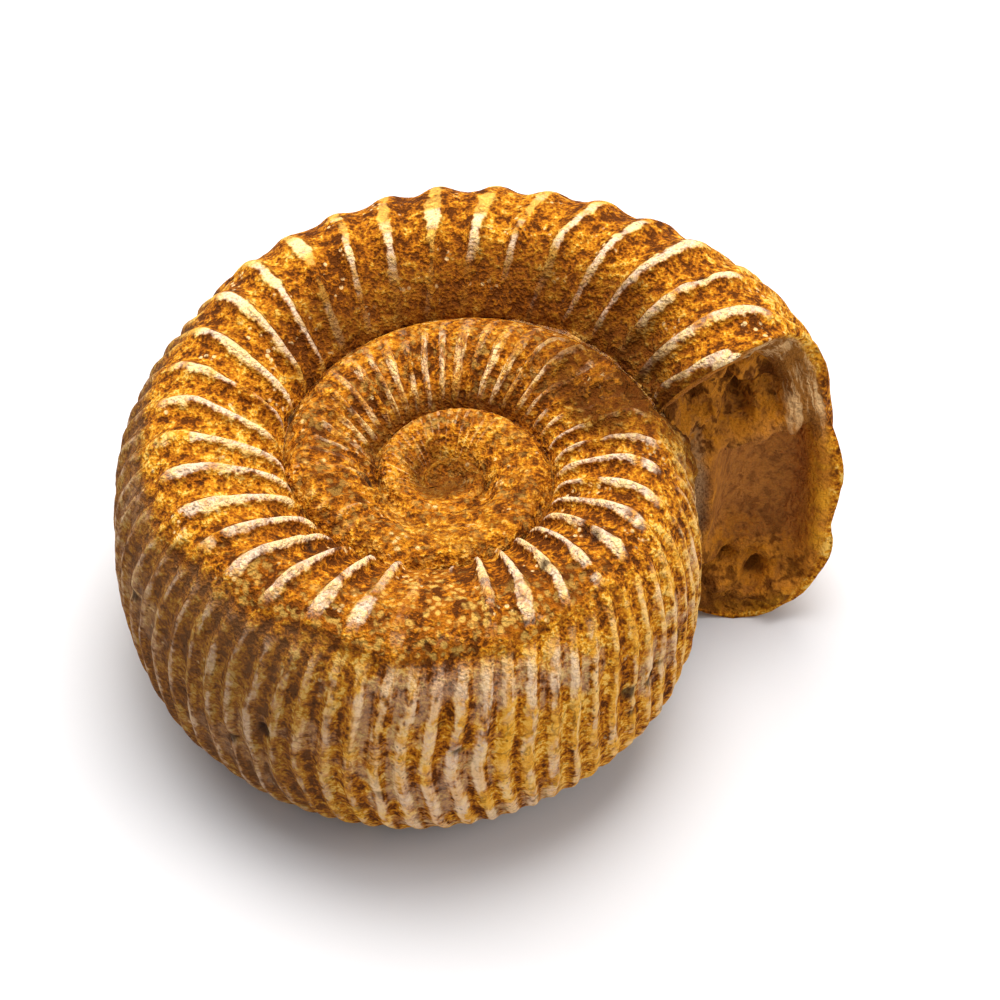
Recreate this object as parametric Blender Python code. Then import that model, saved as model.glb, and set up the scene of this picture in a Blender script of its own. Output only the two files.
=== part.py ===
"""Ammonite fossil lying on its flank: one solid, a ribbed coil broken off at its mouth.

The coil is swept as one sheet of rings. Ring numbers run from the broken end back towards
the middle of the coil. On each ring a point's station runs from 0 at the seam, where the
whorl meets the turn inside it, over the crown to 1 at the middle of the outer edge.
"""
import math

import bmesh
import bpy
from mathutils import Matrix, Vector, noise

# --- Coil: the spiral that everything follows (metres, radians) ---
COIL_RADIUS = 0.0345            # coil middle to outer edge, at the broken end
END_DIRECTION = math.radians(4.9)
CLOSING = 0.064                 # how fast the coil closes, per radian
CLOSING_GAIN = 0.0029           # and how that grows towards the middle
END_HALF_THICKNESS = 0.445      # shares of COIL_RADIUS
MIDDLE_HALF_THICKNESS = 0.14
THICKNESS_PER_TURN = 1.537
SWELLS = (                      # angle, reach and share of slow swells and dents
    (0.45, 0.30, 0.025),
    (2.45, 0.35, -0.022),
    (5.65, 0.35, 0.020),
)
LIP_DROP = 0.055                # the broken end spreads downwards, share of COIL_RADIUS
LIP_REACH = 0.45
CRUSH = 0.0126                  # the coil is pressed slightly out of round
CRUSH_DIRECTION = math.radians(68.7)

# --- Whorl section ---
OUTER_BULGE = 0.267             # crown to outer edge, share of the whorl's radius
OUTER_SQUARENESS = 2.43
INNER_SQUARENESS = 1.47
SEAM_SHARE = 0.901              # seam radius, share of the covered turn's radius
CROWN_STATION = 0.4

# --- Rings and ribs ---
RINGS_PER_TURN = 147            # from a ring's seam point to the ring that it lies on
LAST_RING = 441
RINGS_PER_RIB = 4
FIRST_RIB_RING = 1
FIRST_RIB_ANGLE = 0.11
RIB_LEAN = -0.137               # ribs lean forward from the seam to the outer edge
RIB_HEIGHT = 0.023              # shares of the whorl's radius
FINE_RIB_HEIGHT = 0.015
RIB_UNEVENNESS = 0.3
LUMP_HEIGHT = 0.004
LUMP_SIZE = 0.006

# --- Broken end ---
BREAK_DEPTH = 0.22              # how far back its upper outer side is broken, radians
BREAK_MIDDLE = 0.78             # seen as a station counted on past the outer edge
BREAK_WIDTH = 0.34
BREAK_RINGS = 9
HOLLOW_DEPTH = 0.15             # shares of COIL_RADIUS
HOLLOW_MIDDLE = 1.15
HOLLOW_REACH = 0.62
END_ROWS = 7

# --- Crust left on the front flank ---
CRUST_FROM = 3.7
CRUST_TO = 5.3
CRUST_HEIGHT = 0.012
BURIED_FROM = 4.3
BURIED_TO = 4.85

# --- Lie on the table ---
COIL_MIDDLE = Vector((-0.00304, -0.00362, 0.01505))
TILT = math.radians(4.81)
TILT_DIRECTION = math.radians(21.0)

NAME = "ammonite"
INNER_STATIONS = [0.0, 0.2, 0.4, 0.53]
OUTER_STATIONS = [0.76, 0.88, 1.0]


def smooth_step(low, high, value):
    share = min(max((value - low) / (high - low), 0.0), 1.0)
    return share * share * (3.0 - 2.0 * share)


def band(low, high, soft, value):
    return smooth_step(low - soft, low + soft, value) * (1.0 - smooth_step(high - soft, high + soft, value))


def outer_radius(angle):
    swell = 1.0 + sum(share * math.exp(-(((angle - middle) / reach) ** 2)) for middle, reach, share in SWELLS)
    return COIL_RADIUS * swell * math.exp(-(CLOSING * angle + CLOSING_GAIN * angle * angle))


def half_thickness(angle):
    shrink = THICKNESS_PER_TURN ** (-angle / math.tau)
    return COIL_RADIUS * (MIDDLE_HALF_THICKNESS + (END_HALF_THICKNESS - MIDDLE_HALF_THICKNESS) * shrink)


def lean(station):
    return RIB_LEAN * (station - 0.5)


SEAM_REACH = (SEAM_SHARE - 1.0 + OUTER_BULGE) / OUTER_BULGE
SEAM_QUARTER = math.asin(SEAM_REACH ** (OUTER_SQUARENESS / 2.0)) / (math.pi / 2.0)
COVER_STATION = CROWN_STATION + (1.0 - CROWN_STATION) * SEAM_QUARTER
SEAM_HEIGHT_SHARE = (1.0 - SEAM_REACH ** OUTER_SQUARENESS) ** (1.0 / OUTER_SQUARENESS)
RING_STEP = (math.tau + lean(0.0) - lean(COVER_STATION)) / RINGS_PER_TURN
FIRST_RING_ANGLE = FIRST_RIB_ANGLE - FIRST_RIB_RING * RING_STEP
RIB_SPACING = RINGS_PER_RIB * RING_STEP

STATIONS = INNER_STATIONS + [COVER_STATION] + OUTER_STATIONS
COVER_COLUMN = len(INNER_STATIONS)
MIDDLE_COLUMN = len(STATIONS) - 1
LAST_COLUMN = 2 * MIDDLE_COLUMN


def section_point(angle, station):
    """Radius and height of the smooth whorl at one station of its upper half."""
    radius = outer_radius(angle)
    half = half_thickness(angle)
    crown_radius = radius * (1.0 - OUTER_BULGE)
    if station >= CROWN_STATION:
        quarter = (station - CROWN_STATION) / (1.0 - CROWN_STATION) * math.pi / 2.0
        across = radius * OUTER_BULGE * math.sin(quarter) ** (2.0 / OUTER_SQUARENESS)
        return crown_radius + across, half * max(math.cos(quarter), 0.0) ** (2.0 / OUTER_SQUARENESS)
    quarter = station / CROWN_STATION * math.pi / 2.0
    seam_radius = SEAM_SHARE * outer_radius(angle + math.tau)
    seam_height = SEAM_HEIGHT_SHARE * half_thickness(angle + math.tau)
    inward = (crown_radius - seam_radius) * math.cos(quarter) ** (2.0 / INNER_SQUARENESS)
    upward = (half - seam_height) * math.sin(quarter) ** (2.0 / INNER_SQUARENESS)
    return crown_radius - inward, seam_height + upward


def section_normal(angle, station):
    before = section_point(angle, max(station - 0.01, 0.0))
    after = section_point(angle, min(station + 0.01, 1.0))
    outward = Vector((before[1] - after[1], after[0] - before[0]))
    return outward.normalized()


def end_break(ring, station, side):
    """How far the first rings are pushed back to follow the broken edge, radians."""
    passed = station if side > 0 else 2.0 - station
    depth = BREAK_DEPTH * math.exp(-(((passed - BREAK_MIDDLE) / BREAK_WIDTH) ** 2))
    return depth * max(1.0 - ring / BREAK_RINGS, 0.0)


def relief(angle, station, side):
    """Height of ribs and crust over the smooth whorl, as a share of the whorl's radius."""
    rib = (angle - lean(station) - FIRST_RIB_ANGLE) / RIB_SPACING
    wave = 0.5 + 0.5 * math.cos(math.tau * rib)
    fine_wave = 0.5 + 0.5 * math.cos(2.0 * math.tau * rib)
    uneven = 1.0 + RIB_UNEVENNESS * noise.noise(Vector((rib * 0.9, 7.3 * side, station * 1.5)))
    flank = smooth_step(0.02, 0.2, station) * (1.0 - smooth_step(0.52, 0.8, station))
    edge = smooth_step(0.5, 0.7, station)
    rise = (RIB_HEIGHT * flank * wave + FINE_RIB_HEIGHT * edge * fine_wave) * uneven
    if side > 0:
        buried = band(BURIED_FROM, BURIED_TO, 0.12, angle) * band(0.1, 0.6, 0.08, station)
        crust = band(CRUST_FROM, CRUST_TO, 0.2, angle) * band(0.25, 0.62, 0.08, station)
        rise = rise * (1.0 - 0.8 * buried) + CRUST_HEIGHT * crust
    return rise


def coil_point(ring, station, side):
    angle = FIRST_RING_ANGLE + ring * RING_STEP + lean(station) + end_break(ring, station, side)
    radius, height = section_point(angle, station)
    outward = section_normal(angle, station)
    rise = relief(angle, station, side) * outer_radius(angle)
    radius += outward[0] * rise
    height += outward[1] * rise
    turned = END_DIRECTION + angle
    if side < 0:
        height *= 1.0 + LIP_DROP / END_HALF_THICKNESS * (1.0 - smooth_step(0.0, LIP_REACH, angle))
    point = Vector((radius * math.cos(turned), radius * math.sin(turned), side * height))
    lump = noise.noise(point / LUMP_SIZE) * LUMP_HEIGHT * radius
    point += Vector((math.cos(turned) * outward[0], math.sin(turned) * outward[0], side * outward[1])) * lump
    return crush(point)


def crush(point):
    along = Vector((math.cos(CRUSH_DIRECTION), math.sin(CRUSH_DIRECTION), 0.0))
    across = Vector((-along.y, along.x, 0.0))
    return point + along * (point.dot(along) * CRUSH) - across * (point.dot(across) * CRUSH)


def laid_down(point):
    """Puts a point of the level coil where it lies, with the lowest ribs rubbed flat."""
    axis = Vector((-math.sin(TILT_DIRECTION), math.cos(TILT_DIRECTION), 0.0))
    placed = Matrix.Rotation(-TILT, 3, axis) @ point + COIL_MIDDLE
    placed.z = max(placed.z, 0.0)
    return placed


def column_station(column):
    side = 1 if column <= MIDDLE_COLUMN else -1
    return STATIONS[min(column, LAST_COLUMN - column)], side


class Sheet:
    """Vertices of the coil, made once each and found again by ring and column."""

    def __init__(self):
        self.mesh = bmesh.new()
        self.found = {}

    def vertex(self, ring, column):
        if column == 0 and ring + RINGS_PER_TURN <= LAST_RING:
            return self.vertex(ring + RINGS_PER_TURN, COVER_COLUMN)
        if column == LAST_COLUMN and ring + RINGS_PER_TURN <= LAST_RING:
            return self.vertex(ring + RINGS_PER_TURN, LAST_COLUMN - COVER_COLUMN)
        key = (ring, column)
        if key not in self.found:
            station, side = column_station(column)
            self.found[key] = self.mesh.verts.new(laid_down(coil_point(ring, station, side)))
        return self.found[key]

    def end_vertex(self, row, column):
        """Vertex of the broken face: row 0 on the outer whorl, the last row on the inner one."""
        inner_column = min(max(column, COVER_COLUMN), LAST_COLUMN - COVER_COLUMN)
        if row == 0 or column in (0, LAST_COLUMN):
            return self.vertex(0, column)
        if row == END_ROWS:
            return self.vertex(RINGS_PER_TURN, inner_column)
        key = ("end", row, column)
        if key not in self.found:
            outer = self.vertex(0, column).co
            inner = self.vertex(RINGS_PER_TURN, inner_column).co
            share = row / END_ROWS
            station, side = column_station(column)
            passed = station if side > 0 else 2.0 - station
            across = math.exp(-(((passed - HOLLOW_MIDDLE) / HOLLOW_REACH) ** 4))
            depth = HOLLOW_DEPTH * COIL_RADIUS * band(0.27, 0.86, 0.13, share) * across
            point = outer.lerp(inner, share) + Vector((0.0, depth, 0.0))
            point.y += LUMP_HEIGHT * COIL_RADIUS * 4.0 * noise.noise(point / LUMP_SIZE)
            self.found[key] = self.mesh.verts.new(point)
        return self.found[key]

    def face(self, corners):
        kept = []
        for corner in corners:
            if corner not in kept:
                kept.append(corner)
        if len(kept) > 2:
            self.mesh.faces.new(kept)

    def quads(self, rings, columns):
        for ring in rings:
            for column in columns:
                self.face([self.vertex(ring, column), self.vertex(ring, column + 1),
                           self.vertex(ring + 1, column + 1), self.vertex(ring + 1, column)])

    def middle_cap(self, side):
        """Closes the small dish in the middle of one flank."""
        def column(number):
            return number if side > 0 else LAST_COLUMN - number

        rim = [self.vertex(ring, column(0)) for ring in range(LAST_RING - RINGS_PER_TURN, LAST_RING + 1)]
        rim += [self.vertex(LAST_RING, column(number)) for number in range(1, COVER_COLUMN)]
        height = half_thickness(FIRST_RING_ANGLE + (LAST_RING + RINGS_PER_TURN) * RING_STEP)
        centre = self.mesh.verts.new(laid_down(Vector((0.0, 0.0, side * height))))
        for first, second in zip(rim, rim[1:] + rim[:1]):
            self.face([centre, first, second])


def build_fossil():
    sheet = Sheet()
    sheet.quads(range(RINGS_PER_TURN), range(LAST_COLUMN))
    inner_rings = range(RINGS_PER_TURN, LAST_RING)
    sheet.quads(inner_rings, range(COVER_COLUMN))
    sheet.quads(inner_rings, range(LAST_COLUMN - COVER_COLUMN, LAST_COLUMN))
    for row in range(END_ROWS):
        for column in range(LAST_COLUMN):
            sheet.face([sheet.end_vertex(row, column), sheet.end_vertex(row, column + 1),
                        sheet.end_vertex(row + 1, column + 1), sheet.end_vertex(row + 1, column)])
    sheet.middle_cap(1)
    sheet.middle_cap(-1)
    bmesh.ops.recalc_face_normals(sheet.mesh, faces=sheet.mesh.faces)
    mesh = bpy.data.meshes.new(NAME)
    sheet.mesh.to_mesh(mesh)
    sheet.mesh.free()
    return mesh


def stone_material():
    stone = bpy.data.materials.new("ochre_stone")
    stone.use_nodes = True
    shader = stone.node_tree.nodes["Principled BSDF"]
    shader.inputs["Base Color"].default_value = (0.36, 0.17, 0.045, 1.0)
    shader.inputs["Roughness"].default_value = 0.75
    return stone


def main():
    for old in list(bpy.data.objects):
        bpy.data.objects.remove(old, do_unlink=True)
    collection = bpy.data.collections.new(NAME)
    bpy.context.scene.collection.children.link(collection)
    mesh = build_fossil()
    mesh.materials.append(stone_material())
    mesh.shade_smooth()
    mesh.set_sharp_from_angle(angle=math.radians(50.0))
    collection.objects.link(bpy.data.objects.new(NAME, mesh))


main()
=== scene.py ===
"""Ammonite fossil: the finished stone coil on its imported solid, with floor, light and camera.

The coil is one sheet of rings, as in the solid. Ring numbers run from the broken end back
towards the middle. A point's station runs from 0 at the seam over the crown to 1 at the
middle of the outer edge, and its side is 1 on the upper flank and -1 on the lower one.
Passed is the station counted on over the outer edge, to 2 at the lower seam. Around is the
angle back from the broken end in radians, and inner runs over the broken face from its rim.
"""
import math

import bpy
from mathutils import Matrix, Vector


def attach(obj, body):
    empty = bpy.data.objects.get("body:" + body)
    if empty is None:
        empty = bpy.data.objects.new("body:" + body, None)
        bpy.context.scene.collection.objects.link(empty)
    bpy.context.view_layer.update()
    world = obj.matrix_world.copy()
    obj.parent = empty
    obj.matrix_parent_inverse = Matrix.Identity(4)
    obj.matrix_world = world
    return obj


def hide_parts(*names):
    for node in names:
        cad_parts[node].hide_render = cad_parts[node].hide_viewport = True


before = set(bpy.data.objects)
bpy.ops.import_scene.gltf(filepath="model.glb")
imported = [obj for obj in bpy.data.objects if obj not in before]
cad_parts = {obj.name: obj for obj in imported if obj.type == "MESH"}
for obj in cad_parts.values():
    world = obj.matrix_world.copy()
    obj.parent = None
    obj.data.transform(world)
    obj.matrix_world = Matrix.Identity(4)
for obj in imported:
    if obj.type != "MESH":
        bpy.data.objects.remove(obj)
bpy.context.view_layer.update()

# --- Sizes of the coil: the radius, silt and rubble in metres, the rest as shares ---
SIZES = {
    "Coil radius": 0.0345,
    "Closing": 0.064,
    "Closing gain": 0.0029,
    "End half thickness": 0.445,
    "Middle half thickness": 0.14,
    "Thickness per turn": 1.537,
    "Outer bulge": 0.267,
    "Outer squareness": 2.43,
    "Inner squareness": 1.47,
    "Seam share": 0.901,
    "Rib lean": -0.137,
    "Rib height": 0.038,
    "Fine rib height": 0.021,
    "Lip drop": 0.055,
    "Lip reach": 0.45,
    "Break depth": 0.22,
    "Hollow depth": 0.13,
    "Crust height": 0.017,
    "Lump height": 0.009,
    "Crumb height": 0.016,
    "Pit depth": 0.014,
    "Rim lump height": 0.045,
    "Rubble height": 0.0034,
    "Silt height": 0.0067,
    "Silt top": 0.0083,
    "Silt unevenness": 0.0011,
}
END_DIRECTION = math.radians(4.9)
CROWN = 0.4
FIRST_RIB_ANGLE = 0.11
RINGS_PER_TURN = 147
LAST_RING = 514
RINGS_PER_RIB = 4
BREAK_MIDDLE = 0.78
BREAK_WIDTH = 0.34
BREAK_RINGS = 9
SWELLS = ((0.45, 0.30, 0.025), (2.45, 0.35, -0.022), (5.65, 0.35, 0.020))
CRUSH = 0.0126
CRUSH_DIRECTION = math.radians(68.7)
COIL_MIDDLE = Vector((-0.00304, -0.00362, 0.01505))
TILT = math.radians(4.81)
TILT_DIRECTION = math.radians(21.0)

# --- What follows from them: how far a covered turn shows, its seam and the ring spacing ---
REACH = (SIZES["Seam share"] - 1.0 + SIZES["Outer bulge"]) / SIZES["Outer bulge"]
COVERED_QUARTER = math.asin(REACH ** (SIZES["Outer squareness"] / 2.0)) / (math.pi / 2.0)
COVER = CROWN + (1.0 - CROWN) * COVERED_QUARTER
SEAM_HEIGHT = (1.0 - REACH ** SIZES["Outer squareness"]) ** (1.0 / SIZES["Outer squareness"])
RING_STEP = (math.tau - SIZES["Rib lean"] * COVER) / RINGS_PER_TURN
FIRST_RING_ANGLE = FIRST_RIB_ANGLE - RING_STEP
RIB_SPACING = RINGS_PER_RIB * RING_STEP

# --- How ribs wander, fork and crowd together (rib spacings and stations) ---
DENSER_FROM = 37.0
DENSER_RIBS = 0.28
RIB_WANDER = 0.34
INNER_RIB_WANDER = 0.25
FORK = (0.4, 0.58)
FORK_SPREAD = 0.12
BACK_RIBS = (3.0, 12.5, 1.5)
LATE_FORK = 0.17
LATE_SHOULDER = 0.16

# --- Silt in the middle (metres) ---
SILT_RISE = 0.34
SILT_REACH = 0.0052
SILT_FALL = 1.2
SILT_BLEND = 0.0005

# --- Places on the coil. A band is (from, to, softness), a slope (from, to), a bell
# (middle, reach), and a last number, where there is one, is the share there. ---
WORN_TURNS = ((8.6, 9.3, 0.6), (9.7, 10.6, 0.4), (13.0, 13.6, -0.35), (15.6, 16.4, 0.35))
WORN_WALL = (0.75, 2.15, 0.25)
WORN_WALL_TOP = (0.18, 0.32)
SILTED_SHOULDER = (7.15, 9.2, 0.25)
SILTED_SHOULDER_EDGE = (0.33, 0.43)
RUBBLE_BY_END = (-1.0, 0.75, 0.2)
RUBBLE_ON_TURNS = ((8.7, 10.4, 0.4, 0.7), (12.1, 13.0, 0.3, 0.7), (10.3, 12.2, 0.3, 0.6))
RUBBLE_ON_WALL = (0.7, 2.4, 0.2)
LAYER = (3.05, 5.25, 0.25)
LAYER_EDGE = (0.585, 0.605)
LEDGE = (0.612, 0.02)
BURIED = (4.32, 4.78, 0.1)
BURIED_FLANK = (0.08, 0.57, 0.06)

# --- The broken face: pits and lumps as (inner, passed, depth or height) ---
END_PITS = (
    (0.56, 1.34, 0.055),
    (0.30, 1.38, 0.05),
    (0.60, 0.84, 0.045),
    (0.40, 0.63, 0.05),
    (0.34, 0.80, 0.03),
)
END_LUMPS = (
    (0.44, 0.73, 0.05),
    (0.66, 0.66, 0.04),
    (0.44, 1.5, 0.04),
    (0.72, 1.3, 0.03),
    (0.16, 1.42, 0.03),
)
END_OUTER_BAND = (0.45, 0.95, 0.04)
END_OUTER_BAND_EDGE = (0.24, 0.36)

# --- How fine each roughness of the surface is (cells in a metre) ---
LUMPS = 120.0
CRUMBS = 520.0
PITS = 300.0
PIT_CLUSTERS = 150.0
CLODS = 260.0
RIM_LUMPS = 170.0
SHARDS = 420.0
BLOCKS = 230.0

# --- How finely the sheets are divided ---
RING_PARTS = 3
SEAM_COLUMNS = 22
EDGE_COLUMNS = 24
END_ROWS = 36
CAP_ROWS = 3
MERGE_DISTANCE = 0.0000005

# --- Colours of the stone ---
# Near black, for dark specks and for painted shade on the pit floors.
NEAR_BLACK = (0.025, 0.011, 0.006)
# Deep rust brown of the stone, also the colour of the painted shade in seams, creases, pits and under
# the broken end.
DEEP_RUST_AND_SHADE = (0.095, 0.024, 0.002)
RUST = (0.31, 0.086, 0.004)
OCHRE = (0.50, 0.175, 0.008)
GOLDEN = (0.68, 0.30, 0.018)
YELLOW_GOLD = (0.77, 0.36, 0.028)
PALE_GOLD = (0.82, 0.48, 0.10)
CREAM = (0.88, 0.62, 0.29)
LILAC = (0.78, 0.57, 0.40)
GREY_LILAC = (0.36, 0.25, 0.17)
# The next two colour the left outer edge, its shell and its stone: darker as painted shade of the side
# away from the lamps, and partly their own greyer brown.
SHELL_IN_PAINTED_SHADE = (0.52, 0.37, 0.25)
PAINTED_SHADE_BROWN = (0.13, 0.062, 0.024)
DULL_BROWN = (0.29, 0.10, 0.016)
BROWN_ORANGE = (0.52, 0.19, 0.018)
HOLLOW_DARK = (0.37, 0.14, 0.034)
HOLLOW_PALE = (0.48, 0.185, 0.038)
LAYER_DARK = (0.22, 0.085, 0.016)
LAYER_PALE = (0.62, 0.38, 0.17)
SEAM_GREY = (0.26, 0.165, 0.09)
OCHRE_STOPS = ((0.0, DEEP_RUST_AND_SHADE), (0.3, RUST), (0.55, OCHRE), (0.8, GOLDEN), (1.0, PALE_GOLD))

# --- How the colours lie round the coil: bells as (around, reach, share) ---
TONE_BELLS = ((0.6, 0.5, 0.1), (3.1, 0.6, 0.1), (1.5, 0.7, -0.13))
SHELL_BELLS = ((0.3, 0.5, 0.09), (8.2, 0.5, 0.07), (1.45, 0.55, -0.07), (9.6, 1.0, -0.08))


class Sock:
    """A node socket that sums can be written on."""

    def __init__(self, net, socket):
        self.net = net
        self.socket = socket

    def __add__(self, other):
        return self.net.math("ADD", self, other)

    def __radd__(self, other):
        return self.net.math("ADD", other, self)

    def __sub__(self, other):
        return self.net.math("SUBTRACT", self, other)

    def __rsub__(self, other):
        return self.net.math("SUBTRACT", other, self)

    def __mul__(self, other):
        return self.net.math("MULTIPLY", self, other)

    def __rmul__(self, other):
        return self.net.math("MULTIPLY", other, self)

    def __truediv__(self, other):
        return self.net.math("DIVIDE", self, other)

    def __rtruediv__(self, other):
        return self.net.math("DIVIDE", other, self)

    def __pow__(self, other):
        return self.net.math("POWER", self, other)

    def __rpow__(self, other):
        return self.net.math("POWER", other, self)

    def __neg__(self):
        return self.net.math("MULTIPLY", self, -1.0)


def is_vector(value):
    """Whether a value or socket holds a vector or a colour."""
    if isinstance(value, Sock):
        return value.socket.type in ("VECTOR", "RGBA")
    return isinstance(value, (tuple, Vector))


class Net:
    """Adds nodes to one tree."""

    def __init__(self, tree):
        self.tree = tree

    def node(self, kind, settings=None, values=None, output=0):
        added = self.tree.nodes.new(kind)
        for name, value in (settings or {}).items():
            if name == "stops":
                self.set_stops(added.color_ramp, value)
            else:
                setattr(added, name, value)
        for name, value in (values or {}).items():
            self.feed(added.inputs[name], value)
        return Sock(self, added.outputs[output])

    def set_stops(self, ramp, stops):
        for place, colour in stops[1:-1]:
            ramp.elements.new(place).color = (*colour, 1.0)
        for index in (0, -1):
            place, colour = stops[index]
            ramp.elements[index].position = place
            ramp.elements[index].color = (*colour, 1.0)

    def feed(self, socket, value):
        if isinstance(value, Sock):
            self.tree.links.new(value.socket, socket)
        elif socket.type == "VECTOR" and isinstance(value, (int, float)):
            socket.default_value = (value, value, value)
        elif socket.type == "RGBA":
            socket.default_value = (*value[:3], 1.0)
        else:
            socket.default_value = value

    def math(self, operation, *values):
        kind = "ShaderNodeVectorMath" if any(is_vector(value) for value in values) else "ShaderNodeMath"
        return self.node(kind, {"operation": operation}, dict(enumerate(values)))

    def highest(self, first, *others):
        """The largest of some numbers."""
        for other in others:
            first = self.math("MAXIMUM", first, other)
        return first

    def smooth(self, low, high, value):
        """0 below low, 1 above high, and a soft step between them."""
        span = {"Value": value, "From Min": low, "From Max": high}
        return self.node("ShaderNodeMapRange", {"interpolation_type": "SMOOTHSTEP"}, span)

    def band(self, low, high, soft, value):
        """1 between low and high, with soft edges."""
        risen = self.smooth(low - soft, low + soft, value)
        return risen * (1.0 - self.smooth(high - soft, high + soft, value))

    def bell(self, value, middle, reach, power=2.0):
        """1 at the middle, and soon 0 beyond its reach."""
        away = self.math("ABSOLUTE", (value - middle) / reach)
        return self.math("EXPONENT", -(away ** power))

    def clamp(self, low, high, value):
        return self.math("MINIMUM", self.math("MAXIMUM", value, low), high)

    def choose(self, share, first, second):
        """first where share is 0, second where it is 1, for numbers."""
        values = {"Factor": share, "A": first, "B": second}
        return self.node("ShaderNodeMix", {"data_type": "FLOAT", "clamp_factor": False}, values)

    def mix_vectors(self, share, first, second):
        values = {"Factor": share, 4: first, 5: second}
        return self.node("ShaderNodeMix", {"data_type": "VECTOR", "clamp_factor": False}, values, 1)

    def mix_colour(self, share, first, second):
        values = {"Factor": share, 6: first, 7: second}
        return self.node("ShaderNodeMix", {"data_type": "RGBA"}, values, 2)

    def parts(self, vector):
        split = self.tree.nodes.new("ShaderNodeSeparateXYZ")
        self.feed(split.inputs[0], vector)
        return [Sock(self, output) for output in split.outputs]

    def join_parts(self, x, y, z):
        return self.node("ShaderNodeCombineXYZ", {}, {"X": x, "Y": y, "Z": z})

    def scaled(self, vector, amount):
        values = {"Vector": vector, "Scale": amount}
        return self.node("ShaderNodeVectorMath", {"operation": "SCALE"}, values)

    def dot(self, first, second):
        settings = {"operation": "DOT_PRODUCT"}
        return self.node("ShaderNodeVectorMath", settings, {0: first, 1: second}, "Value")

    def noise(self, vector, scale, detail=2.0, roughness=0.5):
        values = {"Vector": vector, "Scale": scale, "Detail": detail, "Roughness": roughness}
        return self.node("ShaderNodeTexNoise", {"noise_dimensions": "3D"}, values)

    def cells(self, vector, scale, distance="EUCLIDEAN"):
        """Distance to the middle of the nearest of many scattered cells."""
        values = {"Vector": vector, "Scale": scale, "Randomness": 1.0}
        return self.node("ShaderNodeTexVoronoi", {"distance": distance}, values)

    def attribute(self, name):
        return self.node("ShaderNodeAttribute", {"attribute_name": name}, {}, "Fac")


class GeometryNet(Net):
    """Adds geometry nodes, with the coil's sizes as named inputs."""

    def __init__(self, name, sizes):
        super().__init__(bpy.data.node_groups.new(name, "GeometryNodeTree"))
        side = self.tree.interface
        side.new_socket("Geometry", in_out="OUTPUT", socket_type="NodeSocketGeometry")
        for size in sizes:
            side.new_socket(size, in_out="INPUT", socket_type="NodeSocketFloat")
        side.new_socket("Stone", in_out="INPUT", socket_type="NodeSocketMaterial")
        given = self.tree.nodes.new("NodeGroupInput")
        self.size = {output.name: Sock(self, output) for output in given.outputs if output.name}

    def number(self, name):
        values = {"Name": name}
        return self.node("GeometryNodeInputNamedAttribute", {"data_type": "FLOAT"}, values)

    def store(self, geometry, name, value):
        settings = {"data_type": "FLOAT", "domain": "POINT"}
        values = {"Geometry": geometry, "Name": name, "Value": value}
        return self.node("GeometryNodeStoreNamedAttribute", settings, values)

    def compare(self, operation, first, second):
        settings = {"data_type": "FLOAT", "operation": operation}
        return self.node("FunctionNodeCompare", settings, {0: first, 1: second})

    def both(self, first, second):
        return self.node("FunctionNodeBooleanMath", {"operation": "AND"}, {0: first, 1: second})

    def switch(self, test, when_false, when_true):
        values = {"Switch": test, "False": when_false, "True": when_true}
        return self.node("GeometryNodeSwitch", {"input_type": "FLOAT"}, values)

    def move(self, geometry, values):
        return self.node("GeometryNodeSetPosition", {}, {"Geometry": geometry, **values})


def summed(parts):
    total = parts[0]
    for part in parts[1:]:
        total = total + part
    return total


# --- The flat sheets that the coil is bent from ---
def sheet(net, across, along, turned_over, numbers):
    """A flat grid that stores what each of its points stands for.

    numbers gives ring, station, side, inner share and cap share from the grid's own counts.
    """
    size = {
        "Vertices X": across + 1,
        "Vertices Y": along + 1,
        "Size X": float(across),
        "Size Y": float(along),
    }
    grid = net.node("GeometryNodeMeshGrid", {}, size)
    x, y, _ = net.parts(net.node("GeometryNodeInputPosition"))
    count = net.math("ROUND", x + across / 2.0)
    row = net.math("ROUND", y + along / 2.0)
    for name, value in numbers(count, row).items():
        grid = net.store(grid, name, value)
    if turned_over:
        grid = net.node("GeometryNodeFlipFaces", {}, {"Mesh": grid})
    return grid


def station_of(net, column):
    """Station of a column counted from the seam of its own flank."""
    near = column * (COVER / SEAM_COLUMNS)
    far = COVER + (column - SEAM_COLUMNS) * ((1.0 - COVER) / EDGE_COLUMNS)
    return net.switch(net.compare("GREATER_THAN", column, SEAM_COLUMNS + 0.5), near, far)


def whole_section(net, column):
    """Station and side of a column counted from the upper seam round to the lower one."""
    middle = SEAM_COLUMNS + EDGE_COLUMNS
    from_seam = net.math("MINIMUM", column, 2.0 * middle - column)
    side = net.switch(net.compare("GREATER_THAN", column, middle + 0.5), 1.0, -1.0)
    return station_of(net, from_seam), side


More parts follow.
